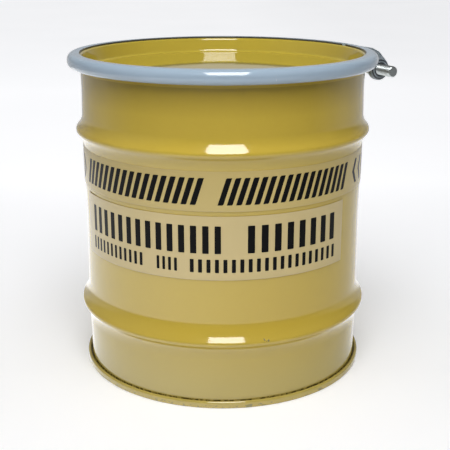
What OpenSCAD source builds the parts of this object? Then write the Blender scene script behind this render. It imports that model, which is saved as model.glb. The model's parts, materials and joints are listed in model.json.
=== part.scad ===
// Open-head steel salvage drum with a bolted closing ring.
// Millimetres, +Z up. The origin is on the drum's axis, in the plane of the floor.
// -Y is the front, where the marking panel is.

/* [Body] */
// Inside diameter of the body
body_id = 463.6; // [440:0.2:600]
// Thickness of the body sheet
sheet = 1.2; // [0.8:0.1:1.6]
// Height of the top of the rim curl above the floor
curl_top = 520; // [500:1:700]
// Outside radius of the rim curl
curl_r = 6; // [5:0.5:7]

/* [Rolling hoops] */
// Height of the middle of the upper hoop
upper_hoop_z = 404; // [380:1:420]
// Half of the upper hoop's height
upper_hoop_half = 25.5; // [20:0.5:28]
// How far the upper hoop stands out of the body
upper_hoop_out = 10.5; // [6:0.1:12]
// Crown radius of the upper hoop
upper_hoop_crown = 7.5; // [6:0.5:18]
// Height of the middle of the lower hoop
lower_hoop_z = 110; // [90:0.5:140]
// Half of the lower hoop's height
lower_hoop_half = 34; // [28:1:36]
// How far the lower hoop stands out of the body
lower_hoop_out = 11.8; // [8:0.1:13]
// Crown radius of the lower hoop
lower_hoop_crown = 7; // [6:0.5:34]

/* [Bottom seam] */
// Height of the rolled bottom seam
seam_h = 11.6; // [10:0.2:14]
// How far the seam stands out of the body
seam_out = 6.9; // [6.6:0.1:8]
// Height of the bottom head's panel above the floor
head_panel_z = 17; // [15:1:24]

/* [Lid] */
// Depth of the lid's panel below its flange
lid_depth = 24; // [15:1:40]
// Radius where the lid's wall starts, above the panel's fillet
lid_wall_foot_r = 224.2; // [220:0.2:225]
// Angle by which the lid's wall leans outward
lid_wall_draft = 14; // [8:1:15]

/* [Closing ring] */
// Outside radius of the closing ring
ring_r = 253.3; // [252.5:0.1:255]
// Thickness of the ring's strip
ring_sheet = 2.66; // [2:0.02:3]
// Inside radius of the ring's upper leg
ring_upper_leg_r = 233; // [230:0.5:238]
// Inside radius of the ring's lower leg, under the rim curl
ring_lower_leg_r = 240.6; // [240:0.1:242]
// Direction of the ring's gap, anticlockwise from +X
gap_azimuth = 25; // [0:1:90]
// Distance between the two ends of the closed ring
ring_gap = 12; // [8:1:14]

/* [Lugs and bolt] */
// Distance of the bolt's axis from the drum's axis
bolt_axis_r = 283; // [278:0.5:286]
// Height of the bolt's axis
bolt_axis_z = 485; // [479:0.5:487]
// Diameter of the bolt
bolt_d = 19; // [14:0.1:20]
// Length of the bolt below its head
bolt_length = 127; // [110:1:140]
// Width of the bolt's head and of the jam nut, across the flats
hex_flats = 28.4; // [22:0.1:30]
// Height of the bolt's head
bolt_head_h = 12; // [9:0.1:13]
// Thickness of the jam nut
jam_nut_h = 10.6; // [8:0.1:12]
// Outside diameter of the washer
washer_d = 37; // [28:0.1:38]
// Thickness of the washer
washer_h = 3.4; // [2:0.1:4]
// Outside diameter of a lug's eye
lug_eye_d = 38; // [32:0.5:40]
// Length of a lug along the bolt
lug_length = 14; // [12:1:24]
// Distance between the facing sides of the two lugs
lug_gap = 58; // [30:1:60]
// Diameter of the plain lug's oversize hole
plain_hole_d = 23; // [19.5:0.1:24]

/* [Markings] */
// Height of the lower edge of the upper marking band
band_z = 318; // [300:1:330]
// Height of the upper marking band
band_h = 61; // [40:1:64]
// Height of the lower edge of the marking panel
panel_z = 211; // [160:1:240]
// Height of the marking panel
panel_h = 100; // [60:1:104]
// Angle from the front to the panel's left edge
panel_left = 68.3; // [30:0.1:90]
// Angle from the front to the panel's right edge
panel_right = 53.8; // [30:0.1:90]

/* [Hidden] */
$fn = 96;

round_steps = 7;        // straight steps in each rounded stretch of a sheet's outline
contact_gap = 0.1;      // between flat faces that bear on each other
seat_gap = 0.3;         // between curved faces of different pieces
running_fit = 0.05;     // radial clearance of a thread or shaft in its hole
body_r = body_id / 2 + sheet;

// Bottom seam, from the inside out: head wall, body wall, cover hook, body hook, seaming wall
seam_r = body_r + seam_out;
head_wall_r = body_id / 2 - contact_gap - sheet;
head_panel_round = 5;
head_foot_round = 2.6;
body_hook_round = 2;
body_hook_x = body_r + body_hook_round;
body_hook_z = 2 * sheet + seat_gap + body_hook_round;
body_hook_top = seam_h - 3.4;
cover_hook_round = 2.65;
cover_hook_end = body_hook_z + 0.5;

// Rim curl: the sheet turns outward over the top and back in underneath
curl_x = body_id / 2 + curl_r;
curl_z = curl_top - curl_r;
curl_end = -130;

// Lid, by the heights of its upper surface
gasket_h = 3;
lid_flange_z = curl_top + gasket_h + sheet;
lid_panel_z = lid_flange_z - lid_depth;
lid_foot_round = 5;
lid_head_round = 4;
lid_rim_round = 7;
lid_skirt_h = 11;
lid_edge_r = ring_r - ring_sheet - 1.1;
lid_foot_x = lid_wall_foot_r - lid_foot_round;
lid_wall_rise = lid_depth - lid_foot_round - lid_head_round;
lid_head_x = lid_foot_x
    + (lid_foot_round + lid_head_round + lid_wall_rise * sin(lid_wall_draft)) / cos(lid_wall_draft);

// Gasket, moulded over the curl
gasket_in = 233.2;
gasket_out = 242.4;
gasket_low = curl_top - 1.4;

// Closing ring
ring_top = lid_flange_z + contact_gap + ring_sheet;
ring_bottom = curl_top - 2 * curl_r - seat_gap - ring_sheet;
ring_upper_round = 10;
ring_lower_round = 9;
ring_gap_half_angle = asin(ring_gap / 2 / ring_r);

// Lugs, in the plane across the bolt: x is the distance from the drum's axis
lug_root_x = ring_r - 8;
lug_root_top = 526;
lug_brow = [266, 522.5];
lug_shoulder = [280.5, 515.5];
lug_root_low = 510;
lug_throat_angle = 170;
lug_eye_chamfer = 1.5;
lug_boss_d = 31;
lug_boss_h = 1.6;
lug_groove_w = 3;
lug_groove_depth = 1.3;
lug_web_inset = 2.2;

// Bolt, by distance along its axis from the middle of the gap to the threaded end
lug_inner = lug_gap / 2;
lug_outer = lug_inner + lug_length;
washer_bore_d = 20.6;
head_seat = -(lug_outer + washer_h + contact_gap);
bolt_chamfer = 1.4;
hex_corner_r = hex_flats / 2 / cos(30);
hex_chamfer = 1.4;
jam_nut_end = lug_inner - contact_gap;

// Marking films
film = 0.2;
film_gap = 0.1;         // the adhesive, left open
band_lap = 2;           // angle left open where the band's ends meet at the back

// Points on an arc, from angle a to angle b
function arc(x, y, r, a, b) =
    [for (i = [0:round_steps]) let (t = a + (b - a) * i / round_steps) [x + r * cos(t), y + r * sin(t)]];

// One face of a bent sheet. Each bend is [x, y, radius, from, to, side]: side is 1 where the
// sheet's other face lies further from the bend's centre, and -1 where it lies nearer.
function face(bends, offset) =
    [for (b = bends) each arc(b[0], b[1], b[2] + b[5] * offset, b[3], b[4])];
function reversed(points) = [for (i = [len(points) - 1:-1:0]) points[i]];

// The cut edge of a sheet. Its other face lies in the direction of angle.
function edge(x, y, angle) = [x, y, 0, angle, angle, 1];
function edge_face(e, offset) = [e[0] + offset * cos(e[3]), e[1] + offset * sin(e[3])];

// The outline of a sheet as thick as t, with a cut edge at each end of its bends
function sheet_outline(first, bends, last, t) = concat(
    [edge_face(first, 0)], face(bends, 0), [edge_face(last, 0), edge_face(last, t)],
    reversed(face(bends, t)), [edge_face(first, t)]
);

// The bends of one hoop from its lower edge up, by the radius of the body's outer face
function hoop(z, half, out, crown) =
    let (slope = 2 * atan(out / half), root = half / sin(slope) - crown)
    [
        [body_r + root, z - half, root, 180, 180 - slope, 1],
        [body_r + out - crown, z, crown, -slope, slope, -1],
        [body_r + root, z + half, root, 180 + slope, 180, 1],
    ];

// The curl's bend, in three lengths
function curl_bends() =
    let (turn = (180 - curl_end) / 3)
    [for (i = [0:2]) [curl_x, curl_z, curl_r - sheet, 180 - turn * i, 180 - turn * (i + 1), 1]];

// Places its children with X outward through the middle of the ring's gap
module at_gap() {
    rotate([0, 0, gap_azimuth]) children();
}

// Places its children with Z along the bolt, towards its threaded end
module on_bolt_axis() {
    at_gap() translate([bolt_axis_r, 0, bolt_axis_z]) rotate([90, 0, 0]) children();
}

// A piece of film round the body between two angles from the front
module body_film(z, h, left, right) {
    rotate([0, 0, -90 - left])
        rotate_extrude(angle = left + right)
            translate([body_r + film_gap, z]) square([film, h]);
}

module body_shell() {
    bends = concat(
        [[body_hook_x, body_hook_z, body_hook_round, 0, -180, 1]],
        hoop(lower_hoop_z, lower_hoop_half, lower_hoop_out, lower_hoop_crown),
        hoop(upper_hoop_z, upper_hoop_half, upper_hoop_out, upper_hoop_crown),
        curl_bends()
    );
    hook_edge = edge(body_hook_x + body_hook_round, body_hook_top, 0);
    last = bends[len(bends) - 1];
    curl_edge = edge(
        last[0] + last[2] * cos(curl_end), last[1] + last[2] * sin(curl_end), curl_end);
    color("darkkhaki") rotate_extrude() polygon(sheet_outline(hook_edge, bends, curl_edge, sheet));
}

module bottom_head() {
    panel_z = head_panel_z - sheet;
    bends = [
        [head_wall_r - head_panel_round, panel_z - head_panel_round, head_panel_round, 90, 0, 1],
        [head_wall_r + head_foot_round, head_foot_round, head_foot_round, 180, 270, -1],
        [seam_r - head_foot_round, head_foot_round, head_foot_round, 270, 360, -1],
        [seam_r - cover_hook_round, seam_h - cover_hook_round, cover_hook_round, 0, 180, -1],
    ];
    middle = edge(0, panel_z, 90);
    cover_edge = edge(seam_r - 2 * cover_hook_round, cover_hook_end, 0);
    color("darkkhaki") rotate_extrude() polygon(sheet_outline(middle, bends, cover_edge, sheet));
}

// The compound lies in the bottom of the body's hook, below the cover hook
module seam_compound() {
    color("dimgray") rotate_extrude()
        polygon(arc(body_hook_x, body_hook_z, body_hook_round - contact_gap, 180, 360));
}

module marking_band() {
    half = 180 - band_lap / 2;
    color("tan") body_film(band_z, band_h, half, half);
}

module marking_panel() {
    color("tan") body_film(panel_z, panel_h, panel_left, panel_right);
}

module lid() {
    rim_x = lid_edge_r - lid_rim_round;
    bends = [
        [lid_foot_x, lid_panel_z + lid_foot_round, lid_foot_round, -90, -lid_wall_draft, 1],
        [lid_head_x, lid_flange_z - lid_head_round, lid_head_round, 180 - lid_wall_draft, 90, -1],
        [rim_x, lid_flange_z - lid_rim_round, lid_rim_round, 90, 0, -1],
    ];
    middle = edge(0, lid_panel_z, -90);
    skirt_edge = edge(lid_edge_r, lid_flange_z - lid_skirt_h, 180);
    color("goldenrod") rotate_extrude() polygon(sheet_outline(middle, bends, skirt_edge, sheet));
}

module lid_gasket() {
    top = lid_flange_z - sheet;
    color("black") rotate_extrude() difference() {
        translate([gasket_in, gasket_low]) square([gasket_out - gasket_in, top - gasket_low]);
        translate([curl_x, curl_z]) circle(r = curl_r + seat_gap);
    }
}

// The bends of the ring's section, by its outer face
function ring_bends(grow) = [
    [ring_r - ring_upper_round, ring_top - ring_upper_round, ring_upper_round + grow, 90, 0, -1],
    [ring_r - ring_lower_round, ring_bottom + ring_lower_round, ring_lower_round + grow, 0, -90, -1],
];

module closing_ring() {
    upper_edge = edge(ring_upper_leg_r, ring_top, -90);
    lower_edge = edge(ring_lower_leg_r, ring_bottom, 90);
    color("silver") rotate([0, 0, gap_azimuth + ring_gap_half_angle])
        rotate_extrude(angle = 360 - 2 * ring_gap_half_angle)
            polygon(sheet_outline(upper_edge, ring_bends(0), lower_edge, ring_sheet));
}

// The space inside the ring's outer face, with the clearance that a lug's seat needs
module ring_envelope() {
    outline = face(ring_bends(running_fit), 0);
    rotate_extrude() polygon(concat([[0, outline[0][1]]], outline, [[0, outline[len(outline) - 1][1]]]));
}

// A forged lug between the distances near and far along the bolt, with a hole of hole_d
module lug(near, far, hole_d) {
    eye_r = lug_eye_d / 2;
    eye = [bolt_axis_r, bolt_axis_z];
    to_shoulder = lug_shoulder - eye;
    brow_angle = atan2(to_shoulder[1], to_shoulder[0]) - acos(eye_r / norm(to_shoulder));
    web = [
        [lug_root_x, lug_root_top], lug_brow, lug_shoulder,
        eye + eye_r * [cos(brow_angle), sin(brow_angle)], eye,
        eye + eye_r * [cos(lug_throat_angle), sin(lug_throat_angle)], [lug_root_x, lug_root_low],
    ];
    difference() {
        union() {
            at_gap() translate([0, -near - lug_web_inset, 0]) rotate([90, 0, 0])
                linear_extrude(far - near - 2 * lug_web_inset) polygon(web);
            on_bolt_axis() translate([0, 0, near]) lug_eye(far - near);
        }
        ring_envelope();
        on_bolt_axis() translate([0, 0, near - 1]) cylinder(h = far - near + 2, d = hole_d);
    }
}

// The round eye of a lug, with a groove round its middle and a flat boss at each end
module lug_eye(h) {
    r = lug_eye_d / 2;
    boss_r = lug_boss_d / 2;
    half = [
        [0, 0], [boss_r, 0], [boss_r, lug_boss_h], [r - lug_eye_chamfer, lug_boss_h],
        [r, lug_boss_h + lug_eye_chamfer], [r, (h - lug_groove_w) / 2],
    ];
    groove = [[r - lug_groove_depth, h / 2]];
    other_half = [for (p = reversed(half)) [p[0], h - p[1]]];
    rotate_extrude() polygon(concat(half, groove, other_half));
}

module plain_lug() {
    color("slategray") lug(-lug_outer, -lug_inner, plain_hole_d);
}

module threaded_lug() {
    color("slategray") lug(lug_inner, lug_outer, bolt_d + 2 * running_fit);
}

module bolt_washer() {
    color("gainsboro") on_bolt_axis() translate([0, 0, head_seat + contact_gap / 2]) difference() {
        cylinder(h = washer_h, d = washer_d);
        translate([0, 0, -1]) cylinder(h = washer_h + 2, d = washer_bore_d);
    }
}

// A hexagonal prism whose corners are turned off at the top, and at the foot too if both is true
module hexagon(h, both) {
    top_r = hex_corner_r - hex_chamfer;
    intersection() {
        cylinder(h = h, r = hex_corner_r, $fn = 6);
        rotate_extrude() polygon([
            [0, 0], [both ? top_r : hex_corner_r, 0], [hex_corner_r, both ? hex_chamfer / 2 : 0],
            [hex_corner_r, h - hex_chamfer / 2], [top_r, h], [0, h],
        ]);
    }
}

module closing_bolt() {
    r = bolt_d / 2;
    color("gainsboro") on_bolt_axis() translate([0, 0, head_seat]) {
        rotate([180, 0, 0]) hexagon(bolt_head_h, false);
        rotate_extrude() polygon([
            [0, -1], [r, -1], [r, bolt_length - bolt_chamfer], [r - bolt_chamfer, bolt_length], [0, bolt_length],
        ]);
    }
}

module jam_nut() {
    color("gainsboro") on_bolt_axis() translate([0, 0, jam_nut_end - jam_nut_h]) difference() {
        hexagon(jam_nut_h, true);
        translate([0, 0, -1]) cylinder(h = jam_nut_h + 2, d = bolt_d + 2 * running_fit);
    }
}

body_shell();
bottom_head();
seam_compound();
marking_band();
marking_panel();
lid();
lid_gasket();
closing_ring();
plain_lug();
threaded_lug();
bolt_washer();
closing_bolt();
jam_nut();
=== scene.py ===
import json
import math
import random

import bmesh
import bpy
from mathutils import Matrix, Vector


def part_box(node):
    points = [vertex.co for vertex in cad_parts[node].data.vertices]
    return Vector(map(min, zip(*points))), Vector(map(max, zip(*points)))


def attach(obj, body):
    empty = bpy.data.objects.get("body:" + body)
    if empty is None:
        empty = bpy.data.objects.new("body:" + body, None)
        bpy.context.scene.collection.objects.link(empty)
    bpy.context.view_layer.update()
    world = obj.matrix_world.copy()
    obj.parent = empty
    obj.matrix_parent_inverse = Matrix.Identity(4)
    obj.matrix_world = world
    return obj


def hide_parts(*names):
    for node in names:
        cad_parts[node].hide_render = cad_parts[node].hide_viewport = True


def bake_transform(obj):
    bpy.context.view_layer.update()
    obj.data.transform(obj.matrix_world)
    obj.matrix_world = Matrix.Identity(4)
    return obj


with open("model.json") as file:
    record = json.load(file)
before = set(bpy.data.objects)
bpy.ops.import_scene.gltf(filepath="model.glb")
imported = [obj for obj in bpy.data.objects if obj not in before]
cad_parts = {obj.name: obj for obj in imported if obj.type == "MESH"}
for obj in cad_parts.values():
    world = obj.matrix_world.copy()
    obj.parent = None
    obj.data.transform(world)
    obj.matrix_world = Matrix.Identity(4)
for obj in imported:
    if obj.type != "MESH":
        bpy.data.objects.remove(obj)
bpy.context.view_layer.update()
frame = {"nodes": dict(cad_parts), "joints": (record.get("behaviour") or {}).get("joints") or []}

MM = 0.001
TURN = 2 * math.pi
random.seed(20)

# ---------------------------------------------------------------- places, worked out from the frame

joints = {j["name"]: j for j in frame["joints"]}
bolt_joint = joints["bolt_turn"]
bolt_back = Vector(bolt_joint["axis"])
bolt_point = Vector(bolt_joint["pos_m"])
gap_azimuth = math.atan2(bolt_point.y, bolt_point.x)
gap_out = Vector((math.cos(gap_azimuth), math.sin(gap_azimuth), 0))

head_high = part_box("bottom_head")[1]
ring_low, ring_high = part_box("closing_ring")
lid_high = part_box("lid")[1]
ring_r = ring_high.y
band_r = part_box("marking_band")[1].y
body_r = band_r - 0.3 * MM

# ---------------------------------------------------------------- the CAD's sizes that the frame doesn't give

SEAM_TOP = 11.6 * MM
CURL_H = 12 * MM
RING_UPPER_ROUND = 10 * MM
RING_LOWER_ROUND = 9 * MM
RING_LEG_INNER = 233 * MM
RING_HALF_GAP = 6 * MM
BOSS_R = 15.5 * MM
LUG_WEB_INSET = 2.2 * MM
BOLT_R = 9.5 * MM
THREAD_PITCH = 2.54 * MM


# ---------------------------------------------------------------- mesh tools

def new_object(name, mesh):
    """An object for a mesh, in the scene's own collection."""
    piece = bpy.data.objects.new(name, mesh)
    bpy.context.scene.collection.objects.link(piece)
    return piece


def cut_outline(node, azimuth):
    """The closed outline of a turned CAD node, as (radius, height) points in order, where a half-plane
    through the drum's axis cuts it."""
    along = Vector((math.cos(azimuth), math.sin(azimuth), 0))
    across = Vector((-along.y, along.x, 0))
    bm = bmesh.new()
    bm.from_mesh(frame["nodes"][node].data)
    bmesh.ops.remove_doubles(bm, verts=bm.verts, dist=1e-6)
    for normal, keep_outer in ((-along, False), (across, True)):
        bmesh.ops.bisect_plane(
            bm, geom=bm.verts[:] + bm.edges[:] + bm.faces[:], dist=1e-8, plane_co=(0, 0, 0),
            plane_no=normal, clear_outer=not keep_outer, clear_inner=keep_outer)
    rim = [e for e in bm.edges if e.is_boundary and all(abs(v.co.dot(across)) < 1e-6 for v in e.verts)]
    links = {}
    for edge in rim:
        a, b = edge.verts
        links.setdefault(a, []).append(b)
        links.setdefault(b, []).append(a)
    ends = [v for v in links if len(links[v]) == 1]
    order = [min(ends or links, key=lambda v: (v.co.dot(along), v.co.z))]
    seen = set(order)
    while True:
        onward = [v for v in links[order[-1]] if v not in seen]
        if not onward:
            break
        order.append(onward[0])
        seen.add(onward[0])
    outline = [(max(v.co.dot(along), 0.0), v.co.z) for v in order]
    bm.free()
    return straightened(outline)


def straightened(points, least=0.12):
    """The closed outline without the points where it doesn't turn by at least so many degrees."""
    out = []
    for i, point in enumerate(points):
        a = Vector(point) - Vector(out[-1] if out else points[-1])
        b = Vector(points[(i + 1) % len(points)]) - Vector(point)
        if a.length < 1e-6:
            continue
        if b.length < 1e-6 or math.degrees(a.angle(b)) > least or point[0] < 1e-7:
            out.append(point)
    return out


def rounded(points, limit=20.0):
    """The closed outline with a point added on every shallow bend, so that its arcs are twice as fine."""
    n = len(points)
    p = [Vector(q) for q in points]

    def bend(i):
        a, b = p[i] - p[i - 1], p[(i + 1) % n] - p[i]
        if a.length < 1e-9 or b.length < 1e-9:
            return 0.0
        return math.atan2(a.x * b.y - a.y * b.x, a.dot(b))

    out = []
    for i in range(n):
        out.append(tuple(p[i]))
        q = p[(i + 1) % n]
        near, far = bend(i), bend((i + 1) % n)
        turns = [t for t in (near, far) if abs(t) < math.radians(limit)]
        if len(turns) == 2 and near * far > 0:
            chord = q - p[i]
            sag = chord.length * math.tan((near + far) / 2 / 4) / 2
            middle = (p[i] + q) / 2 + Vector((chord.y, -chord.x)).normalized() * sag
            out.append(tuple(middle))
    return out


def soften_corners(points, radius, limit=40.0):
    """The closed outline with every sharp corner cut back to a small chamfer."""
    n = len(points)
    p = [Vector(q) for q in points]
    out = []
    for i in range(n):
        a, b = p[i - 1] - p[i], p[(i + 1) % n] - p[i]
        if p[i].x < 1e-6 or a.length < 1e-9 or b.length < 1e-9:
            out.append(tuple(p[i]))
            continue
        turn = math.degrees(math.pi - a.angle(b))
        if turn < limit:
            out.append(tuple(p[i]))
            continue
        near = min(radius, a.length * 0.45)
        far = min(radius, b.length * 0.45)
        first, last = p[i] + a.normalized() * near, p[i] + b.normalized() * far
        middle = (first + last) / 4 + p[i] / 2
        out += [tuple(first), tuple(middle), tuple(last)]
    return out


def lathe(name, outline, steps=256, start=0.0, sweep=TURN):
    """A closed outline turned round the drum's axis, with end caps where the turn isn't whole."""
    bm = bmesh.new()
    whole = abs(sweep - TURN) < 1e-9
    count = steps if whole else steps + 1
    rows = []
    for k in range(count):
        a = start + sweep * k / steps
        rows.append([bm.verts.new((r * math.cos(a), r * math.sin(a), z)) for r, z in outline])
    n = len(outline)
    for k in range(steps):
        here, there = rows[k], rows[(k + 1) % count]
        for i in range(n):
            j = (i + 1) % n
            if outline[i][0] < 1e-7 and outline[j][0] < 1e-7:
                continue
            bm.faces.new((here[i], here[j], there[j], there[i]))
    if not whole:
        bm.faces.new(rows[0])
        bm.faces.new(rows[-1])
    bmesh.ops.remove_doubles(bm, verts=bm.verts, dist=1e-7)
    bmesh.ops.dissolve_degenerate(bm, dist=1e-7, edges=bm.edges)
    bmesh.ops.recalc_face_normals(bm, faces=bm.faces)
    return finished(name, bm)


def finished(name, bm, sharp=32.0):
    """The bmesh as an object, shaded smooth with its sharp edges kept."""
    for edge in bm.edges:
        edge.smooth = len(edge.link_faces) != 2 or edge.calc_face_angle(0.0) < math.radians(sharp)
    for face in bm.faces:
        face.smooth = True
    mesh = bpy.data.meshes.new(name)
    bm.to_mesh(mesh)
    bm.free()
    return new_object(name, mesh)


def dress(piece, body, slot, *materials):
    """Gives a piece its body and its materials."""
    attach(piece, body)
    put_on(piece, slot, *materials)


def put_on(piece, slot, *materials):
    """Gives a piece its materials. The slot argument is not used."""
    piece.data.materials.clear()
    for material in materials:
        piece.data.materials.append(material)


# ---------------------------------------------------------------- material tools

def srgb(r, g, b):
    """A linear colour from 0 to 255 display values."""
    def linear(v):
        v /= 255
        return v / 12.92 if v <= 0.04045 else ((v + 0.055) / 1.055) ** 2.4
    return (linear(r), linear(g), linear(b), 1.0)


def start_material(name, **values):
    """A new material and its Principled shader, with plain values set on the shader's own sockets."""
    material = bpy.data.materials.new(name)
    material.use_nodes = True
    shader = material.node_tree.nodes["Principled BSDF"]
    for key, value in values.items():
        shader.inputs[key.replace("_", " ")].default_value = value
    return material, shader


def add(material, kind, inputs=None, **settings):
    """A node of that kind. An input is a plain value, or another node's output to link."""
    node = material.node_tree.nodes.new("ShaderNode" + kind)
    for key, value in settings.items():
        setattr(node, key, value)
    for key, value in (inputs or {}).items():
        if isinstance(value, bpy.types.NodeSocket):
            material.node_tree.links.new(value, node.inputs[key])
        else:
            node.inputs[key].default_value = value
    return node


def place(material):
    """Where a point of the piece is, in metres in the row frame at rest."""
    return add(material, "TexCoord").outputs["Object"]


def noise(material, scale, detail=3.0, rough=0.5, stretch=(1, 1, 1)):
    """Noise from 0 to 1 that stays with the piece. A small stretch value draws it out along that axis."""
    spot = add(material, "Mapping", {"Vector": place(material), "Scale": stretch}).outputs[0]
    inputs = {"Vector": spot, "Scale": scale, "Detail": detail, "Roughness": rough}
    return add(material, "TexNoise", inputs).outputs["Fac"]


def ramp(material, value, low, high, to_low=0.0, to_high=1.0):
    """The value taken from the range low to high onto to_low to to_high, and held at its ends."""
    inputs = {"Value": value, "From Min": low, "From Max": high, "To Min": to_low, "To Max": to_high}
    return add(material, "MapRange", inputs, clamp=True).outputs["Result"]


def times(material, a, b):
    return add(material, "Math", {0: a, 1: b}, operation="MULTIPLY").outputs[0]


def plus(material, a, b):
    """The sum of two values, held between 0 and 1."""
    return add(material, "Math", {0: a, 1: b}, operation="ADD", use_clamp=True).outputs[0]


def mixed(material, share, a, b):
    """Colour a, going to colour b as share goes from 0 to 1."""
    return add(material, "Mix", {0: share, 6: a, 7: b}, data_type="RGBA").outputs[2]


def axis_distance(material):
    """The distance of a point from the drum's axis."""
    flat = add(material, "VectorMath", {0: place(material), 1: (1, 1, 0)}, operation="MULTIPLY").outputs[0]
    return add(material, "VectorMath", {0: flat}, operation="LENGTH").outputs["Value"]


def height(material):
    return add(material, "SeparateXYZ", {0: place(material)}).outputs["Z"]


def bumps(material, shader, *layers):
    """Bump layers, each (height value, depth in metres, strength), one on top of another."""
    normal = None
    for value, depth, strength in layers:
        inputs = {"Height": value, "Distance": depth, "Strength": strength}
        if normal is not None:
            inputs["Normal"] = normal
        normal = add(material, "Bump", inputs).outputs[0]
    material.node_tree.links.new(normal, shader.inputs["Normal"])


def connect(material, output, shader, name):
    material.node_tree.links.new(output, shader.inputs[name])


# ---------------------------------------------------------------- materials

DULL_STEEL = srgb(96, 92, 76)
BRIGHT_STEEL = srgb(214, 216, 218)
# the duller colour that the paint takes towards the bottom of the drum
LOW_DULL_TINT = srgb(158, 148, 92)
# colour of the painted shade and dirt under the closing ring
SHADE_AND_DIRT_BROWN = srgb(96, 78, 30)
# colour of the dirt in the seam groove and of the painted shade at the ring's inner edge
BLACK_GRIME_AND_SHADE = srgb(52, 44, 24)
HOOP_KNOCK = (0.0684, -0.2332, 0.1170)
RING_SCUFF = (0.0734, -0.2416, 0.5160)


def enamel(name, colour, shade, worn, chip, rough):
    """Sprayed gloss enamel. worn gives the share of each spot that rubs against things, and chip is the
    colour that shows through there."""
    material, shader = start_material(name, IOR=1.55)
    cloud = ramp(material, noise(material, 3.0, 2.0), 0.35, 0.68)
    speck = ramp(material, noise(material, 140.0, 4.0), 0.42, 0.60)
    paint = mixed(material, times(material, cloud, 0.5), colour, shade)
    paint = mixed(material, times(material, speck, 0.10), paint, shade)
    ragged = noise(material, 95.0, 5.0, 0.65)
    worn_here = worn(material)
    chips = ramp(material, times(material, ragged, worn_here), 0.555, 0.575)
    paint = mixed(material, chips, paint, chip)
    # the paint goes darker and duller towards the bottom of the drum
    dust = ramp(material, height(material), 0.03, 0.13, 0.5, 0.0)
    paint = mixed(material, dust, paint, LOW_DULL_TINT)
    # painted shade under the closing ring, with some dirt in it
    paint = mixed(material, shade_and_dirt_under_ring(material), paint, SHADE_AND_DIRT_BROWN)
    # dirt in the bottom seam's groove, plus painted shade along the ring's inner edge
    grime = plus(material, grime_in_seam(material), shade_and_dirt_at_ring_edge(material))
    paint = mixed(material, grime, paint, BLACK_GRIME_AND_SHADE)
    connect(material, paint, shader, "Base Color")
    uneven = ramp(material, noise(material, 9.0, 3.0), 0.3, 0.7, rough * 0.85, rough * 1.25)
    connect(material, plus(material, uneven, times(material, chips, 0.3)), shader, "Roughness")
    connect(material, times(material, chips, 0.7), shader, "Metallic")
    peel = noise(material, 420.0, 2.0)
    wave = noise(material, 7.0, 1.0, 0.4, (1, 1, 0.35))
    chipped = ramp(material, chips, 0.0, 1.0, 1.0, 0.0)
    bumps(material, shader, (wave, 0.0012, 0.22), (peel, 0.00004, 0.25), (chipped, 0.00012, 0.6))
    return material


def grime_in_seam(material):
    """Dirt caught in the groove between the body and the bottom seam, broken here and there."""
    in_reach = ramp(material, axis_distance(material), body_r + 0.7 * MM, body_r + 1.3 * MM, 1.0, 0.0)
    below = ramp(material, height(material), SEAM_TOP + 0.1 * MM, SEAM_TOP + 0.8 * MM, 1.0, 0.0)
    above = ramp(material, height(material), SEAM_TOP - 4 * MM, SEAM_TOP - 3 * MM)
    broken = ramp(material, noise(material, 170.0, 3.0, 0.6), 0.42, 0.54, 0.15, 0.85)
    return times(material, times(material, in_reach, times(material, below, above)), broken)


def shade_and_dirt_under_ring(material):
    """Painted shade, with some dirt, on the body under the closing ring, stronger towards it, and none on the
    lid above.
    """
    towards = ramp(material, height(material), 455 * MM, 497 * MM, 0.0, 0.32)
    below_lid = ramp(material, height(material), 498.8 * MM, 499 * MM, 1.0, 0.0)
    return times(material, towards, below_lid)


def shade_and_dirt_at_ring_edge(material):
    """Painted shade, with some dirt, as a dark line along the inner edge of the ring's upper leg, on the ring
    and on the lid beside it.
    """
    inner = ramp(
        material, axis_distance(material), RING_LEG_INNER + 0.6 * MM, RING_LEG_INNER + 1 * MM, 1.0, 0.0)
    above_lid = ramp(material, height(material), 524 * MM, 524.3 * MM, 0.0, 0.9)
    return times(material, inner, above_lid)


def near_spot(material, spot, reach):
    """1 at a spot of the piece, falling to 0 at a distance."""
    away = add(material, "VectorMath", {0: place(material), 1: spot}, operation="DISTANCE").outputs["Value"]
    return ramp(material, away, reach * 0.4, reach, 1.0, 0.0)


def drum_wear(material):
    """Wear on the drum's paint: one knock on the lower hoop, and the bottom seam."""
    knock = times(material, near_spot(material, HOOP_KNOCK, 8.5 * MM), 1.8)
    low = ramp(material, height(material), 2 * MM, head_high.z - 3 * MM, 1.0, 0.0)
    outer = ramp(material, axis_distance(material), head_high.y - 4 * MM, head_high.y - 0.5 * MM)
    foot = times(material, times(material, low, outer), 1.35)
    return plus(material, knock, foot)


def rim_wear(material):
    """Wear on the closing ring: one scuff in front and its inner edge."""
    scuff = times(material, near_spot(material, RING_SCUFF, 9 * MM), 1.15)
    inner_edge = ramp(
        material, axis_distance(material), RING_LEG_INNER + 0.5 * MM, RING_LEG_INNER + 1.2 * MM, 0.9, 0.0)
    return plus(material, scuff, inner_edge)


def little_wear(material):
    """Hardly any wear, in cloudy patches."""
    return ramp(material, noise(material, 5.0, 2.0), 0.55, 0.75, 0.0, 0.84)


def bare_steel(name):
    """The inside of the drum: cold-rolled sheet with a thin film of rust inhibitor."""
    material, shader = start_material(name, Metallic=0.85)
    streak = noise(material, 60.0, 4.0, 0.6, (1, 1, 0.06))
    stain = ramp(material, noise(material, 11.0, 4.0), 0.45, 0.7)
    steel = mixed(material, ramp(material, streak, 0.3, 0.7), srgb(150, 149, 143), srgb(186, 185, 179))
    steel = mixed(material, times(material, stain, 0.35), steel, srgb(128, 116, 92))
    connect(material, steel, shader, "Base Color")
    connect(material, ramp(material, streak, 0.3, 0.7, 0.34, 0.5), shader, "Roughness")
    bumps(material, shader, (streak, 0.00006, 0.5))
    return material


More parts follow.
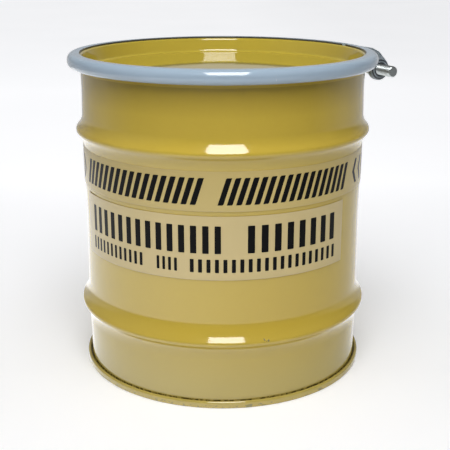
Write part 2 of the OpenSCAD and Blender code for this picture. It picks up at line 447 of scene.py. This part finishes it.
def bolt_distance(material):
    """The distance of a point from the closing bolt's axis."""
    spot = tuple(bolt_point)
    axis = tuple(bolt_back)
    away = add(material, "VectorMath", {0: place(material), 1: spot}, operation="SUBTRACT").outputs[0]
    out = add(material, "VectorMath", {0: away, 1: axis}, operation="CROSS_PRODUCT").outputs[0]
    return add(material, "VectorMath", {0: out}, operation="LENGTH").outputs["Value"]


def shade_and_grime_on_lug(material):
    """Painted shade, with some dirt, round the foot of each boss, and at the hole's mouth."""
    reach = bolt_distance(material)
    inside = ramp(material, reach, BOSS_R - 1.2 * MM, BOSS_R - 0.3 * MM)
    outside = ramp(material, reach, BOSS_R + 1.1 * MM, BOSS_R + 2 * MM, 1.0, 0.0)
    foot = times(material, inside, outside)
    mouth = times(material, ramp(material, reach, BOLT_R + 2.5 * MM, BOLT_R + 3.3 * MM, 1.0, 0.0), 0.9)
    return plus(material, foot, mouth)


def forged_steel(name):
    """A drop-forged lug under one thin coat of grey paint."""
    material, shader = start_material(name)
    pits = noise(material, 900.0, 4.0, 0.6)
    cloud = noise(material, 120.0, 3.0)
    coat = mixed(material, ramp(material, cloud, 0.35, 0.65), srgb(122, 134, 138), srgb(152, 160, 168))
    coat = mixed(material, ramp(material, pits, 0.58, 0.70, 0.0, 0.7), coat, srgb(44, 46, 50))
    # painted shade and grime round each boss and at the bolt hole's mouth, nearly black
    coat = mixed(material, times(material, shade_and_grime_on_lug(material), 0.9), coat, srgb(24, 24, 32))
    connect(material, coat, shader, "Base Color")
    connect(material, ramp(material, cloud, 0.3, 0.7, 0.24, 0.40), shader, "Roughness")
    connect(material, ramp(material, pits, 0.4, 0.7, 0.1, 0.5), shader, "Metallic")
    bumps(material, shader, (cloud, 0.0004, 0.35), (pits, 0.00012, 0.6))
    return material


def weld_metal(name):
    material, shader = start_material(name)
    grain = noise(material, 700.0, 3.0)
    heat = noise(material, 160.0, 2.0)
    metal = mixed(material, ramp(material, heat, 0.35, 0.65), srgb(120, 128, 140), srgb(88, 92, 98))
    connect(material, metal, shader, "Base Color")
    connect(material, ramp(material, grain, 0.3, 0.7, 0.3, 0.5), shader, "Roughness")
    connect(material, ramp(material, grain, 0.4, 0.6, 0.2, 0.6), shader, "Metallic")
    bumps(material, shader, (grain, 0.00012, 0.5))
    return material


def zinc_plate(name):
    """Bright zinc plate on a bolt, a nut or a washer."""
    material, shader = start_material(name)
    bloom = noise(material, 240.0, 4.0, 0.6)
    grime = ramp(material, noise(material, 70.0, 3.0), 0.5, 0.72)
    plate = mixed(material, ramp(material, bloom, 0.3, 0.7), srgb(186, 190, 190), srgb(150, 156, 156))
    plate = mixed(material, times(material, grime, 0.3), plate, srgb(150, 146, 136))
    connect(material, plate, shader, "Base Color")
    connect(material, ramp(material, bloom, 0.3, 0.7, 0.24, 0.38), shader, "Roughness")
    connect(material, ramp(material, grime, 0.0, 1.0, 1.0, 0.8), shader, "Metallic")
    bumps(material, shader, (bloom, 0.00003, 0.5))
    return material


def rubber(name, light, dark, rough=0.6):
    material, shader = start_material(name)
    grain = noise(material, 800.0, 3.0)
    dust = ramp(material, noise(material, 40.0, 4.0), 0.45, 0.75)
    body = mixed(material, times(material, dust, 0.5), dark, light)
    connect(material, body, shader, "Base Color")
    connect(material, ramp(material, grain, 0.3, 0.7, rough - 0.08, rough + 0.1), shader, "Roughness")
    bumps(material, shader, (grain, 0.00005, 0.6))
    return material


def marking_film(name, film, shade, rough=0.14):
    """Clear film over its adhesive, which takes on the colour of the paint behind it."""
    material, shader = start_material(name, IOR=1.5)
    cloud = ramp(material, noise(material, 5.0, 3.0), 0.35, 0.65)
    haze = ramp(material, noise(material, 260.0, 3.0, 0.6), 0.35, 0.72)
    body = mixed(material, times(material, cloud, 0.6), film, shade)
    body = mixed(material, times(material, haze, 0.06), body, shade)
    connect(material, body, shader, "Base Color")
    connect(material, ramp(material, haze, 0.0, 1.0, rough, rough + 0.08), shader, "Roughness")
    bumps(material, shader, (noise(material, 90.0, 3.0), 0.00012, 0.25))
    return material


def black_ink(name):
    material, shader = start_material(name, Specular_IOR_Level=0.08)
    thin = ramp(material, noise(material, 180.0, 4.0, 0.6), 0.60, 0.76)
    ink = mixed(material, times(material, thin, 0.4), srgb(6, 6, 6), srgb(40, 35, 24))
    connect(material, ink, shader, "Base Color")
    connect(material, ramp(material, thin, 0.0, 1.0, 0.28, 0.42), shader, "Roughness")
    bumps(material, shader, (noise(material, 300.0, 2.0), 0.00003, 0.3))
    return material


def pale_floor(name):
    """A pale floor, lit from below like white paper round and behind the drum, duller further out."""
    material, shader = start_material(name, Roughness=0.9, Specular_IOR_Level=0.2)
    split = add(material, "SeparateXYZ", {0: place(material)})
    x = split.outputs["X"]
    y = split.outputs["Y"]
    half_width = add(material, "Math", {0: y, 1: 0.3, 2: 0.63}, operation="MULTIPLY_ADD").outputs[0]
    sideways = add(material, "Math", {0: x}, operation="ABSOLUTE").outputs[0]
    beyond = add(material, "Math", {0: sideways, 1: half_width}, operation="SUBTRACT").outputs[0]
    across = ramp(material, beyond, -0.12, 0.8, 1.0, 0.35)
    ahead = ramp(material, y, -1.1, -0.38, 0.4, 1.0)
    to_right = ramp(material, x, 0.1, 1.1, 1.0, 0.95)
    paper = times(material, times(material, across, ahead), to_right)
    sheet = mixed(material, noise(material, 1.3, 2.0), srgb(232, 233, 235), srgb(238, 238, 240))
    connect(material, mixed(material, paper, srgb(166, 167, 169), sheet), shader, "Base Color")
    near = ramp(material, y, -0.1, 1.2, 0.24, 0.68)
    far = ramp(material, y, 0.9, 3.0, 0.0, 0.19)
    connect(material, sheet, shader, "Emission Color")
    connect(material, times(material, paper, plus(material, near, far)), shader, "Emission Strength")
    return material


body_paint = enamel("body_enamel", srgb(192, 166, 62), srgb(186, 158, 56), drum_wear, DULL_STEEL, 0.07)
lid_paint = enamel("lid_enamel", srgb(182, 162, 60), srgb(175, 154, 53), little_wear, DULL_STEEL, 0.03)
ring_paint = enamel("ring_enamel", srgb(157, 175, 191), srgb(150, 168, 184), rim_wear, BRIGHT_STEEL, 0.06)
inside_steel = bare_steel("inside_steel")
lug_paint = forged_steel("forged_lug")
lug_weld = weld_metal("lug_weld")
zinc = zinc_plate("zinc_plate")
gasket_rubber = rubber("gasket_rubber", srgb(58, 57, 54), srgb(24, 24, 24))
compound = rubber("seaming_compound", srgb(112, 106, 98), srgb(86, 82, 76), 0.5)
band_film = marking_film("band_film", srgb(195, 173, 105), srgb(188, 166, 99))
panel_film = marking_film("panel_film", srgb(201, 181, 127), srgb(195, 175, 118))
ink = black_ink("marking_ink")


# ---------------------------------------------------------------- drum

CUT_AZIMUTH = 0.003


def turned_piece(
        name, node, body, slot, *materials, soften=0.25 * MM, steps=288, azimuth=CUT_AZIMUTH, **turn):
    """A fine turned mesh from the outline of a turned CAD node, in that node's place."""
    outline = rounded(cut_outline(node, azimuth))
    if soften:
        outline = soften_corners(outline, soften)
    piece = lathe(name, outline, steps, **turn)
    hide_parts(node)
    if body:
        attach(piece, body)
    put_on(piece, slot, *materials)
    return piece


def line_inside(piece, faces_inward):
    """Puts a piece's second material on the faces that are inside the closed drum."""
    for face in piece.data.polygons:
        if faces_inward(Vector(face.center), Vector(face.normal)):
            face.material_index = 1


def radial(centre, normal):
    """How far a face looks out from the drum's axis, from -1 for straight in to 1 for straight out."""
    return normal.dot(Vector((centre.x, centre.y, 0)).normalized())


# Within these radii the upper side of the head and the underside of the lid are bare steel
HEAD_LINING_R = 231 * MM
LID_LINING_R = 226 * MM

shell = turned_piece("body_shell_skin", "body_shell", "drum", "body_paint", body_paint, inside_steel)
line_inside(shell, lambda c, n: radial(c, n) < -0.2 and head_high.z < c.z < lid_high.z - CURL_H)

head = turned_piece("bottom_head_skin", "bottom_head", "drum", "body_paint", body_paint, inside_steel)
line_inside(head, lambda c, n: n.z > 0.3 and c.z > 13 * MM and c.xy.length < HEAD_LINING_R)

turned_piece("seam_compound_bead", "seam_compound", "drum", "sealing_compound", compound, soften=0)

lid_skin = turned_piece("lid_skin", "lid", "lid", "lid_paint", lid_paint, inside_steel)
line_inside(lid_skin, lambda c, n: n.z < -0.3 and c.xy.length < LID_LINING_R)

turned_piece("lid_gasket_ring", "lid_gasket", "lid", "gasket_rubber", gasket_rubber, soften=0.6 * MM)


def side_weld():
    """The resistance weld down the back of the body, a narrow flat ridge that follows the hoops."""
    half_width = 3.2 * MM
    top = 506 * MM
    outer_side = 232.5 * MM
    across = (-1, -0.72, 0, 0.72, 1)
    proud = (-0.05 * MM, 0.20 * MM, 0.24 * MM, 0.20 * MM, -0.05 * MM)
    outline = rounded(cut_outline("body_shell", CUT_AZIMUTH))
    outer = sorted((z, r) for r, z in outline if head_high.z < z < top and r > outer_side)
    bm = bmesh.new()
    rows = []
    for z, r in outer:
        row = []
        for share, up in zip(across, proud):
            a = math.pi / 2 + share * half_width / r
            row.append(bm.verts.new(((r + up) * math.cos(a), (r + up) * math.sin(a), z)))
        rows.append(row)
    for low, high in zip(rows, rows[1:]):
        for i in range(len(across) - 1):
            bm.faces.new((low[i], high[i], high[i + 1], low[i + 1]))
    piece = finished("side_weld_ridge", bm)
    dress(piece, "drum", "body_paint", body_paint)


side_weld()


# ---------------------------------------------------------------- closing ring, lugs and bolt

half_gap = math.asin(RING_HALF_GAP / ring_r)
ring_skin = turned_piece(
    "closing_ring_skin", "closing_ring", None, "ring_paint", ring_paint, soften=0.7 * MM, steps=360,
    azimuth=gap_azimuth + math.pi, start=gap_azimuth + half_gap, sweep=TURN - 2 * half_gap)
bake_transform(ring_skin)


def bolt_place():
    """Z along the bolt to its threaded end, X outward from the drum."""
    ahead = -bolt_back
    up = ahead.cross(gap_out)
    turn = Matrix((gap_out, up, ahead)).transposed().to_4x4()
    return Matrix.Translation(bolt_point) @ turn


on_bolt = bolt_place()


def along_bolt(node):
    """How far a CAD node reaches along the bolt's axis, and its greatest distance from that axis."""
    inverse = on_bolt.inverted()
    spots = [inverse @ v.co for v in frame["nodes"][node].data.vertices]
    return min(p.z for p in spots), max(p.z for p in spots), max(p.xy.length for p in spots)


def forged(name, node, body):
    """A lug with every edge rounded over and a slightly uneven skin, as a forging has."""
    bm = bmesh.new()
    bm.from_mesh(frame["nodes"][node].data)
    bmesh.ops.remove_doubles(bm, verts=bm.verts, dist=1e-6)
    mesh = bpy.data.meshes.new(name)
    bm.to_mesh(mesh)
    bm.free()
    piece = new_object(name, mesh)
    remesh = piece.modifiers.new("voxels", "REMESH")
    remesh.mode = "VOXEL"
    remesh.voxel_size = 0.5 * MM
    smooth = piece.modifiers.new("smooth", "SMOOTH")
    smooth.factor = 0.5
    smooth.iterations = 3
    graph = bpy.context.evaluated_depsgraph_get()
    mesh = bpy.data.meshes.new_from_object(piece.evaluated_get(graph))
    piece.modifiers.clear()
    piece.data = mesh
    for face in mesh.polygons:
        face.use_smooth = True
    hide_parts(node)
    dress(piece, body, "lug_steel", lug_paint)
    return piece


forged("plain_lug_forging", "plain_lug", "ring")
forged("threaded_lug_forging", "threaded_lug", "ring_free_end")


def ring_surface(lean):
    """A point of the ring's outer face, in the plane through the drum's axis. lean is the direction in
    which the face looks, in radians up from outward."""
    if lean > 0:
        radius = RING_UPPER_ROUND
        centre = Vector((ring_r - radius, ring_high.z - radius))
    else:
        radius = RING_LOWER_ROUND
        centre = Vector((ring_r - radius, ring_low.z + radius))
    return centre + radius * Vector((math.cos(lean), math.sin(lean)))


def weld_bead(name, near, far, body):
    """A fillet weld round the foot of a lug that lies between two distances along the bolt."""
    first_lean, lean_sweep = 42, 96
    step = 0.45 * MM
    ripple_length = 2.3 * MM
    leans = [math.radians(first_lean - lean_sweep * i / 30) for i in range(31)]
    path = []

    def put(lean, along):
        spot = ring_surface(lean)
        side = -bolt_back * along
        reach = math.sqrt(max(spot.x ** 2 - along ** 2, 0))
        path.append(gap_out * reach + side + Vector((0, 0, spot.y)))

    for lean in leans:
        put(lean, near)
    for i in range(1, 12):
        put(leans[-1], near + (far - near) * i / 12)
    for lean in reversed(leans):
        put(lean, far)
    for i in range(1, 12):
        put(leans[0], far + (near - far) * i / 12)
    fine = []
    for a, b in zip(path, path[1:] + path[:1]):
        count = max(1, round((b - a).length / step))
        fine += [a.lerp(b, i / count) for i in range(count)]
    bm = bmesh.new()
    rings = []
    walked = 0.0
    for i, spot in enumerate(fine):
        ahead = (fine[(i + 1) % len(fine)] - fine[i - 1]).normalized()
        walked += (spot - fine[i - 1]).length
        out = Vector((spot.x, spot.y, 0)).normalized()
        u = (out - ahead * out.dot(ahead)).normalized()
        w = ahead.cross(u)
        ripple = abs(math.sin(math.pi * walked / ripple_length))
        radius = (1.55 + 0.35 * ripple + random.uniform(-0.06, 0.06)) * MM
        rings.append([
            bm.verts.new(spot + radius * (math.cos(a) * u + math.sin(a) * w))
            for a in (TURN * k / 12 for k in range(12))])
    for here, there in zip(rings, rings[1:] + rings[:1]):
        for k in range(12):
            bm.faces.new((here[k], here[(k + 1) % 12], there[(k + 1) % 12], there[k]))
    bmesh.ops.recalc_face_normals(bm, faces=bm.faces)
    piece = finished(name, bm, 70)
    dress(piece, body, "ring_paint", lug_weld)
    return piece


plain_near, plain_far, _ = along_bolt("plain_lug")
threaded_near, threaded_far, _ = along_bolt("threaded_lug")
weld_bead("plain_lug_weld", plain_near + LUG_WEB_INSET, plain_far - LUG_WEB_INSET, "ring")
weld_bead("threaded_lug_weld", threaded_near + LUG_WEB_INSET, threaded_far - LUG_WEB_INSET, "ring_free_end")


def turned_on_bolt(name, outline, steps=96):
    """A closed outline of (radius, distance along the bolt) points turned round the bolt's axis."""
    piece = lathe(name, outline, steps)
    piece.data.transform(on_bolt)
    return piece


def hex_solid(bm, flats, corner_in, layers, steps=96, bore=None):
    """A hexagon whose corners are turned off. layers are (height, largest radius) pairs from the foot up.
    With a bore, the solid is open along its axis and the bore's wall joins its two ends."""
    rows = []
    for z, most in layers:
        row = []
        for k in range(steps):
            a = TURN * (k + 0.5) / steps
            off = (a + TURN / 12) % (TURN / 6) - TURN / 12
            side = flats / 2 / math.cos(off)
            softened = side - corner_in * (math.cos(off) ** -8 - 1) / (math.cos(TURN / 12) ** -8 - 1)
            r = min(softened, most)
            row.append(bm.verts.new((r * math.cos(a), r * math.sin(a), z)))
        rows.append(row)
    if bore:
        for z in (layers[-1][0], layers[0][0]):
            rows.append([
                bm.verts.new((bore * math.cos(a), bore * math.sin(a), z))
                for a in (TURN * (k + 0.5) / steps for k in range(steps))])
        rows.append(rows[0])
    for here, there in zip(rows, rows[1:]):
        for k in range(steps):
            j = (k + 1) % steps
            bm.faces.new((here[k], here[j], there[j], there[k]))
    if not bore:
        bm.faces.new(list(reversed(rows[0])))
        bm.faces.new(rows[-1])


def chamfered_layers(low, high, full, small, chamfer, foot=False):
    """Heights and turned radii of a hexagon with a 30 degree chamfer at its top, and at its foot too."""
    share = [i / 6 for i in range(7)]
    top = [(high - chamfer * (1 - t), full + (small - full) * t) for t in share]
    if foot:
        return [(low + chamfer * t, small + (full - small) * t) for t in share] + top
    return [(low, full)] + top


def bolt_thread(bm, start, end, major, pitch, around=48, within=14):
    """A cut screw thread as one helical strip, running out into the shank at its start and chamfered at
    its end, closed by a flat at each end."""
    depth = 0.6 * pitch
    crest, root = 0.14, 0.16

    def profile(t):
        slope = (1 - crest - root) / 2
        if t < crest:
            return major
        if t < crest + slope:
            return major - depth * (t - crest) / slope
        if t < crest + slope + root:
            return major - depth
        return major - depth * (1 - t) / slope

    total = math.ceil((end - start) / pitch) + 1
    rows = []
    for k in range(total * within + 1):
        row = []
        for i in range(around):
            z = start + pitch * (k / within + i / around - 1)
            r = profile((k % within) / within)
            entry = min(1.0, max(0.0, (z - start) / (1.2 * pitch)))
            r = major + (r - major) * entry
            z = min(max(z, start), end)
            r = min(r, major - depth * 1.1 + (end - z) * 1.0)
            a = TURN * i / around
            row.append(bm.verts.new((r * math.cos(a), r * math.sin(a), z)))
        rows.append(row)
    for k in range(len(rows) - 1):
        for i in range(around):
            if i < around - 1:
                corner = (rows[k][i], rows[k][i + 1], rows[k + 1][i + 1], rows[k + 1][i])
            elif k + 1 + within < len(rows):
                corner = (rows[k][i], rows[k + within][0], rows[k + 1 + within][0], rows[k + 1][i])
            else:
                continue
            bm.faces.new(corner)


def closing_bolt():
    """The head, the shank up to the middle of the gap and the thread beyond it, as one piece."""
    low, high, reach = along_bolt("closing_bolt")
    seat = along_bolt("bolt_washer")[0] - 0.05 * MM
    flats = 2 * reach * math.cos(TURN / 12)
    face_r = 0.475 * flats
    face_h = 0.4 * MM
    chamfer = 1.9 * MM
    bm = bmesh.new()
    up = chamfered_layers(-seat + face_h, -low, reach, 0.47 * flats, chamfer)
    layers = [(seat, face_r), (seat - face_h, face_r)] + [(-z, r) for z, r in up]
    hex_solid(bm, flats, 0.35 * MM, layers)
    head_piece = finished_on_bolt("bolt_head", bm, 25)
    outline = [
        (0, seat - 1 * MM), (BOLT_R + 1.2 * MM, seat - 1 * MM), (BOLT_R + 1.2 * MM, seat),
        (BOLT_R + 0.5 * MM, seat + 0.3 * MM), (BOLT_R, seat + 1.2 * MM), (BOLT_R, 0.0), (0, 0.0)]
    shank_piece = turned_on_bolt("bolt_shank", outline)
    bm = bmesh.new()
    bolt_thread(bm, 0.0, high, BOLT_R, THREAD_PITCH)
    bmesh.ops.remove_doubles(bm, verts=bm.verts, dist=1e-6)
    thread_piece = finished_on_bolt("bolt_thread", bm, 40)
    return join("closing_bolt_steel", head_piece, shank_piece, thread_piece)


def finished_on_bolt(name, bm, sharp):
    """The bmesh closed, moved from the origin onto the bolt's axis, and finished."""
    bmesh.ops.remove_doubles(bm, verts=bm.verts, dist=1e-7)
    bmesh.ops.dissolve_degenerate(bm, dist=1e-7, edges=bm.edges)
    holes = [e for e in bm.edges if e.is_boundary]
    if holes:
        bmesh.ops.holes_fill(bm, edges=holes)
    bmesh.ops.recalc_face_normals(bm, faces=bm.faces)
    bmesh.ops.transform(bm, matrix=on_bolt, verts=bm.verts)
    return finished(name, bm, sharp)


def join(name, *pieces):
    """Several solids as one piece."""
    bm = bmesh.new()
    for piece in pieces:
        bm.from_mesh(piece.data)
        bpy.data.objects.remove(piece)
    mesh = bpy.data.meshes.new(name)
    bm.to_mesh(mesh)
    bm.free()
    return new_object(name, mesh)


bolt_piece = closing_bolt()
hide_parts("closing_bolt")
dress(bolt_piece, "bolt", "zinc_plate", zinc)


def bevelled_washer():
    """The flat washer, with its edges rounded as a stamping's are."""
    low, high, reach = along_bolt("bolt_washer")
    bore = BOLT_R + 0.8 * MM
    edge = 0.45 * MM
    outline = [
        (bore + edge / 2, low), (reach - edge, low), (reach - edge / 4, low + edge / 3), (reach, low + edge),
        (reach, high - edge), (reach - edge / 4, high - edge / 3), (reach - edge, high),
        (bore + edge, high), (bore, high - edge), (bore, low + edge / 2)]
    piece = turned_on_bolt("bolt_washer_steel", outline)
    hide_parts("bolt_washer")
    dress(piece, "bolt_carrier", "zinc_plate", zinc)


bevelled_washer()


def jam_nut():
    """The thin nut on the thread between the lugs, chamfered at both ends."""
    low, high, reach = along_bolt("jam_nut")
    flats = 2 * reach * math.cos(TURN / 12)
    bm = bmesh.new()
    chamfer = 1.7 * MM
    clearance = 0.06 * MM
    layers = chamfered_layers(low, high, reach, 0.47 * flats, chamfer, foot=True)
    hex_solid(bm, flats, 0.3 * MM, layers, bore=BOLT_R + clearance)
    piece = finished_on_bolt("jam_nut_steel", bm, 25)
    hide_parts("jam_nut")
    dress(piece, "jam_nut", "zinc_plate", zinc)


jam_nut()


# ---------------------------------------------------------------- markings

put_on(frame["nodes"]["marking_band"], "marking_film", band_film)
put_on(frame["nodes"]["marking_panel"], "marking_film", panel_film)

INK = 0.06 * MM
PRINT_GAP = 0.04 * MM
BAR_ROUND = 1.2 * MM
BAND_PRINT = (328 * MM, 369 * MM)
TALL_ROW = (253 * MM, 296 * MM)
SHORT_ROW = (223 * MM, 244 * MM)


def add_print(bm, radius, columns):
    """A thin curved solid on the drum. columns are (arc length from the front, low, high) in metres."""
    sides = []
    for r in (radius, radius + INK):
        row = []
        for s, low, high in columns:
            a = -math.pi / 2 + s / radius
            row.append([bm.verts.new((r * math.cos(a), r * math.sin(a), z)) for z in (low, high)])
        sides.append(row)
    inner, outer = sides
    for i in range(len(columns) - 1):
        bm.faces.new((outer[i][0], outer[i + 1][0], outer[i + 1][1], outer[i][1]))
        bm.faces.new((inner[i][0], inner[i][1], inner[i + 1][1], inner[i + 1][0]))
        bm.faces.new((inner[i][0], inner[i + 1][0], outer[i + 1][0], outer[i][0]))
        bm.faces.new((inner[i][1], outer[i][1], outer[i + 1][1], inner[i + 1][1]))
    bm.faces.new((inner[0][0], outer[0][0], outer[0][1], inner[0][1]))
    bm.faces.new((inner[-1][0], inner[-1][1], outer[-1][1], outer[-1][0]))


def bar_columns(left, width, low, high):
    """The columns of an upright bar with rounded corners."""
    corner = min(BAR_ROUND, width / 2.2)
    steps = 5
    offsets = [corner * (1 - math.cos(math.pi / 2 * i / steps)) for i in range(steps + 1)]
    offsets += [width - o for o in reversed(offsets)]
    out = []
    for o in offsets:
        inset = corner - min(o, width - o)
        trim = corner - math.sqrt(max(corner ** 2 - max(inset, 0) ** 2, 0))
        out.append((left + o, low + trim, high - trim))
    return out


def slanted_columns(left, width, lean, low, high):
    """The columns of a leaning bar, cut off level at its top and foot."""
    slope = (high - low) / lean
    out = []
    for i in range(13):
        s = left + (width + lean) * i / 12
        z_high = min(high, low + (s - left) * slope)
        z_low = max(low, low + (s - left - width) * slope)
        out.append((s, z_low, z_high))
    return out


def arc_length(degrees, radius):
    return math.radians(degrees) * radius


def bars(bm, radius, left, right, low, high, cells, share):
    """A group of pairs of upright bars between two angles from the front."""
    start, end = arc_length(left, radius), arc_length(right, radius)
    pitch = (end - start) / cells
    width = pitch * share / 2
    for i in range(cells):
        for half in (0, 1):
            s = start + pitch * (i + 0.5 * half) + (pitch / 2 - width) / 2
            add_print(bm, radius, bar_columns(s, width, low, high))


def leaning_bars(bm, radius, left, right, low, high, count, share):
    """A group of leaning bars between two angles from the front."""
    start, end = arc_length(left, radius), arc_length(right, radius)
    lean = 13 * MM
    pitch = (end - start - lean) / count
    for i in range(count):
        s = start + pitch * (i + (1 - share) / 2)
        add_print(bm, radius, slanted_columns(s, pitch * share, lean, low, high))


def chevron(bm, radius, tip, low, high, points_left, stroke=9 * MM, depth=12 * MM):
    """One arrow-shaped mark whose tip is at an angle from the front."""
    start = arc_length(tip, radius)
    middle = (low + high) / 2
    way = 1 if points_left else -1
    for half in (-1, 1):
        share = [i / 6 for i in range(7)]
        spine = sorted((start + way * depth * t, middle + half * (high - low) / 2 * t) for t in share)
        sides = []
        for r in (radius, radius + INK):
            line = []
            for s, z in spine:
                pair = []
                for shift in (0, stroke):
                    a = -math.pi / 2 + (s + way * shift) / radius
                    pair.append(bm.verts.new((r * math.cos(a), r * math.sin(a), z)))
                line.append(pair)
            sides.append(line)
        inner, outer = sides
        for i in range(len(spine) - 1):
            bm.faces.new((outer[i][0], outer[i][1], outer[i + 1][1], outer[i + 1][0]))
            bm.faces.new((inner[i][0], inner[i + 1][0], inner[i + 1][1], inner[i][1]))
            for j in (0, 1):
                bm.faces.new((inner[i][j], outer[i][j], outer[i + 1][j], inner[i + 1][j]))
        for i in (0, -1):
            bm.faces.new((inner[i][0], inner[i][1], outer[i][1], outer[i][0]))


def printed(name, bm):
    """The marks in a bmesh as one piece of ink on the drum."""
    bmesh.ops.recalc_face_normals(bm, faces=bm.faces)
    piece = finished(name, bm)
    dress(piece, "drum", "marking_film", ink)


def print_band():
    """The band's marks: two groups of leaning bars in front and two behind, with chevrons between."""
    radius = band_r + PRINT_GAP
    low, high = BAND_PRINT
    bm = bmesh.new()
    for turn in (0, 180):
        leaning_bars(bm, radius, turn - 68.0, turn - 6.0, low, high, 17, 0.62)
        leaning_bars(bm, radius, turn - 2.5, turn + 57.5, low, high, 17, 0.62)
    printed("band_bars", bm)
    bm = bmesh.new()
    for side, first in ((1, 61.5), (-1, 71.0)):
        for k in range(5):
            tip = first + 7.0 * k
            chevron(bm, radius, side * tip, low + 1 * MM, high - 1 * MM, side > 0)
    printed("band_chevrons", bm)


def print_panel():
    """The panel's marks: a row of tall bars over a row of short ones."""
    radius = band_r + PRINT_GAP
    bm = bmesh.new()
    bars(bm, radius, -63, 0.5, *TALL_ROW, 7, 0.52)
    bars(bm, radius, 8, 49.3, *TALL_ROW, 4, 0.52)
    printed("panel_tall_bars", bm)
    bm = bmesh.new()
    for left, right, cells in ((-63, -31, 6), (-26, -16.5, 2), (-13, 49.3, 10)):
        bars(bm, radius, left, right, *SHORT_ROW, cells, 0.48)
    printed("panel_short_bars", bm)


print_band()
print_panel()


# ---------------------------------------------------------------- floor, lights and camera

def stage():
    """One wide flat floor."""
    bm = bmesh.new()
    rows = [[bm.verts.new((x, y, 0)) for x in (-40, -2, 2, 40)] for y in (-40, -2, 2, 60)]
    for low, high in zip(rows, rows[1:]):
        for i in range(3):
            bm.faces.new((low[i], low[i + 1], high[i + 1], high[i]))
    piece = finished("pale_stage", bm, 60)
    piece.data.materials.append(pale_floor("pale_paper"))
    piece.visible_glossy = False


def softbox(name, spot, target, size, radiance, shine):
    """A rectangular lamp of the given brightness. With shine it makes only highlights, and otherwise it
    makes everything but highlights."""
    light = bpy.data.lights.new(name, "AREA")
    light.shape = "RECTANGLE"
    light.size, light.size_y = size
    light.energy = radiance * math.pi * size[0] * size[1]
    lamp = bpy.data.objects.new(name, light)
    bpy.context.scene.collection.objects.link(lamp)
    lamp.location = spot
    lamp.rotation_euler = (Vector(target) - Vector(spot)).to_track_quat("-Z", "Y").to_euler()
    lamp.visible_camera = False
    lamp.visible_diffuse = not shine
    lamp.visible_glossy = shine


def surroundings():
    """What the drum's paint reflects: a bright table below, a dimmer wall beyond it and a darker room above.
    The floor's own reflection is switched off, so that these show instead."""
    world = bpy.data.worlds.new("grey_room")
    bpy.context.scene.world = world
    world.use_nodes = True
    nodes, links = world.node_tree.nodes, world.node_tree.links
    coord = nodes.new("ShaderNodeTexCoord")
    split = nodes.new("ShaderNodeSeparateXYZ")
    links.new(coord.outputs["Generated"], split.inputs[0])

    def mapped(axis, low, high, to_low, to_high):
        node = nodes.new("ShaderNodeMapRange")
        for key, value in zip(("From Min", "From Max", "To Min", "To Max"), (low, high, to_low, to_high)):
            node.inputs[key].default_value = value
        links.new(split.outputs[axis], node.inputs["Value"])
        return node.outputs["Result"]

    def either(share, a, b):
        node = nodes.new("ShaderNodeMix")
        for k, value in enumerate((share, a, b)):
            links.new(value, node.inputs[(0, 2, 3)[k]])
        return node.outputs[0]

    def total(a, b):
        node = nodes.new("ShaderNodeMath")
        for k, value in enumerate((a, b)):
            links.new(value, node.inputs[k])
        return node.outputs[0]

    room = total(mapped("Y", 0.5, 0.85, 0.12, 0.45), mapped("X", -0.95, -0.5, 0.22, 0.0))
    wall = total(mapped("Y", -0.3, 0.3, 0.2, 0.65), mapped("X", -1.0, 1.0, 0.05, -0.05))
    table = total(mapped("Y", -0.6, 0.6, 1.75, 1.25), mapped("X", -1.0, 1.0, 0.65, -0.55))
    below = either(mapped("Z", -0.26, -0.21, 1.0, 0.0), wall, table)
    links.new(either(mapped("Z", -0.03, 0.03, 0.0, 1.0), below, room), nodes["Background"].inputs["Strength"])
    nodes["Background"].inputs["Color"].default_value = (0.985, 0.992, 1.0, 1.0)


stage()
surroundings()
softbox("overhead_softbox", (0.0, -1.3, 2.4), (0.0, -0.2, 1.0), (1.5, 2.4), radiance=5.9, shine=False)
softbox("overhead_shine", (0.25, -3.06, 5.22), (0.25, -0.08, 2.42), (2.4, 5.45), radiance=12.0, shine=True)

CAMERA_DEPRESSION = math.radians(17.11)

camera_data = bpy.data.cameras.new("camera")
camera = bpy.data.objects.new("camera", camera_data)
bpy.context.scene.collection.objects.link(camera)
camera.location = (0.0, -1.5163, 0.6933)
camera.rotation_euler = (TURN / 4 - CAMERA_DEPRESSION, 0.0, 0.0)
camera_data.lens = 73.0
camera_data.sensor_width = 36.0
camera_data.shift_x = 0.0052
bpy.context.scene.camera = camera
bpy.context.scene.view_settings.view_transform = "Standard"
